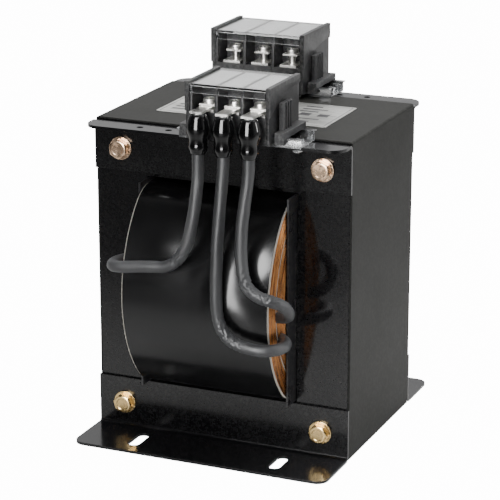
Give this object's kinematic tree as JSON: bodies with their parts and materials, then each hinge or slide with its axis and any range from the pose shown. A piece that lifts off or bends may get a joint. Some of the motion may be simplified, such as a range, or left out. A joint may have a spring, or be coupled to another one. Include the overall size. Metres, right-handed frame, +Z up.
{
  "type": "dry-type autotransformer",
  "caption": "Floor or panel mounted dry-type autotransformer with a laminated core on folded feet, a horizontal coil and rail-mounted terminal blocks.",
  "frame": {"origin": "on the resting plane of the feet, under the middle of the core", "axes": "+X to the right along the coil's axis, +Y to the back, +Z up; the lead side is -Y"},
  "size_m": [0.2032, 0.2434, 0.2918],
  "materials": {
    "core_varnish": "glossy black impregnating varnish over stacked laminations",
    "bracket_paint": "glossy black enamel on folded steel",
    "cover_paint": "satin black powder coat",
    "yellow_zinc": "yellow-passivated zinc plating",
    "bright_zinc": "bright zinc plating",
    "nickel": "bright nickel plating",
    "copper_winding": "varnished enamelled copper wire",
    "press_board": "varnished pressboard",
    "white_paper": "insulating paper",
    "black_wrap": "glossy black insulating film",
    "block_moulding": "moulded black thermoplastic",
    "end_moulding": "moulded dark grey thermoplastic",
    "clear_lid": "clear moulded plastic",
    "card_white": "blank white card",
    "sleeve_grey": "matt grey silicone-glass sleeving",
    "boot_black": "glossy black heat-shrink sleeve",
    "plate_silver": "printed aluminium plate"
  },
  "bodies": {
    "frame": {"bolt_sleeves": "press_board", "clamp_bolts": "yellow_zinc", "clamp_nuts": "yellow_zinc", "coil_former": "press_board", "core_e_stack": "core_varnish", "core_i_stack": "core_varnish", "cover_panel": "cover_paint", "flat_washers": "yellow_zinc", "front_block_bars": "nickel", "front_block_cards": "card_white", "front_block_end_clamps": "end_moulding", "front_block_end_plates": "block_moulding", "front_block_poles": "block_moulding", "front_foot_bracket": "bracket_paint", "front_rail": "bright_zinc", "front_top_bracket": "bracket_paint", "inner_winding": "copper_winding", "interlayer_insulation": "white_paper", "lead_boots": "boot_black", "lead_lugs": "nickel", "left_end_cheek": "press_board", "left_lead": "sleeve_grey", "middle_lead": "sleeve_grey", "outer_paper": "white_paper", "outer_winding": "copper_winding", "outer_wrap": "black_wrap", "rail_nuts": "bright_zinc", "rail_screws": "bright_zinc", "rail_spacers": "bright_zinc", "rating_plate": "plate_silver", "rear_block_bars": "nickel", "rear_block_cards": "card_white", "rear_block_end_clamps": "end_moulding", "rear_block_end_plates": "block_moulding", "rear_block_poles": "block_moulding", "rear_foot_bracket": "bracket_paint", "rear_rail": "bright_zinc", "rear_top_bracket": "bracket_paint", "right_end_cheek": "press_board", "right_lead": "sleeve_grey", "spring_washers": "yellow_zinc", "tight_clamping_washers": "nickel", "tight_terminal_screws": "nickel"},
    "front_cover": {"front_block_cover": "clear_lid"},
    "front_washer_1": {"front_block_washer_1": "nickel"},
    "front_screw_1": {"front_block_screw_1": "nickel"},
    "front_washer_2": {"front_block_washer_2": "nickel"},
    "front_screw_2": {"front_block_screw_2": "nickel"},
    "front_washer_3": {"front_block_washer_3": "nickel"},
    "front_screw_3": {"front_block_screw_3": "nickel"},
    "rear_cover": {"rear_block_cover": "clear_lid"},
    "rear_washer_1": {"rear_block_washer_1": "nickel"},
    "rear_screw_1": {"rear_block_screw_1": "nickel"},
    "rear_washer_2": {"rear_block_washer_2": "nickel"},
    "rear_screw_2": {"rear_block_screw_2": "nickel"},
    "rear_washer_3": {"rear_block_washer_3": "nickel"},
    "rear_screw_3": {"rear_block_screw_3": "nickel"}
  },
  "joints": [
    {"name": "front_cover_lift", "type": "slide", "parent": "frame", "child": "front_cover", "axis": [0, 0, 1], "range_m": [0, 0.03]},
    {"name": "front_washer_1_slide", "type": "slide", "parent": "frame", "child": "front_washer_1", "axis": [0, 0, 1], "range_m": [-0.0064, 0]},
    {"name": "front_screw_1_turn", "type": "hinge", "parent": "front_washer_1", "child": "front_screw_1", "pos_m": [0.0046, -0.0635, 0.272], "axis": [0, 0, 1], "range_deg": [-2900, 0]},
    {"name": "front_washer_2_slide", "type": "slide", "parent": "frame", "child": "front_washer_2", "axis": [0, 0, 1], "range_m": [-0.0064, 0]},
    {"name": "front_screw_2_turn", "type": "hinge", "parent": "front_washer_2", "child": "front_screw_2", "pos_m": [0.0241, -0.0635, 0.272], "axis": [0, 0, 1], "range_deg": [-2900, 0]},
    {"name": "front_washer_3_slide", "type": "slide", "parent": "frame", "child": "front_washer_3", "axis": [0, 0, 1], "range_m": [-0.0064, 0]},
    {"name": "front_screw_3_turn", "type": "hinge", "parent": "front_washer_3", "child": "front_screw_3", "pos_m": [0.0436, -0.0635, 0.272], "axis": [0, 0, 1], "range_deg": [-2900, 0]},
    {"name": "rear_cover_lift", "type": "slide", "parent": "frame", "child": "rear_cover", "axis": [0, 0, 1], "range_m": [0, 0.03]},
    {"name": "rear_washer_1_slide", "type": "slide", "parent": "frame", "child": "rear_washer_1", "axis": [0, 0, 1], "range_m": [-0.0064, 0]},
    {"name": "rear_screw_1_turn", "type": "hinge", "parent": "rear_washer_1", "child": "rear_screw_1", "pos_m": [-0.0409, 0.0555, 0.272], "axis": [0, 0, 1], "range_deg": [-2900, 0]},
    {"name": "rear_washer_2_slide", "type": "slide", "parent": "frame", "child": "rear_washer_2", "axis": [0, 0, 1], "range_m": [-0.0064, 0]},
    {"name": "rear_screw_2_turn", "type": "hinge", "parent": "rear_washer_2", "child": "rear_screw_2", "pos_m": [-0.0174, 0.0555, 0.272], "axis": [0, 0, 1], "range_deg": [-2900, 0]},
    {"name": "rear_washer_3_slide", "type": "slide", "parent": "frame", "child": "rear_washer_3", "axis": [0, 0, 1], "range_m": [-0.0064, 0]},
    {"name": "rear_screw_3_turn", "type": "hinge", "parent": "rear_washer_3", "child": "rear_screw_3", "pos_m": [0.0061, 0.0555, 0.272], "axis": [0, 0, 1], "range_deg": [-2900, 0]}
  ],
  "couplings": [
    {"joint": "front_screw_1_turn", "follows": "front_washer_1_slide", "rad_per_m": 7854},
    {"joint": "front_screw_2_turn", "follows": "front_washer_2_slide", "rad_per_m": 7854},
    {"joint": "front_screw_3_turn", "follows": "front_washer_3_slide", "rad_per_m": 7854},
    {"joint": "rear_screw_1_turn", "follows": "rear_washer_1_slide", "rad_per_m": 7854},
    {"joint": "rear_screw_2_turn", "follows": "rear_washer_2_slide", "rad_per_m": 7854},
    {"joint": "rear_screw_3_turn", "follows": "rear_washer_3_slide", "rad_per_m": 7854}
  ]
}
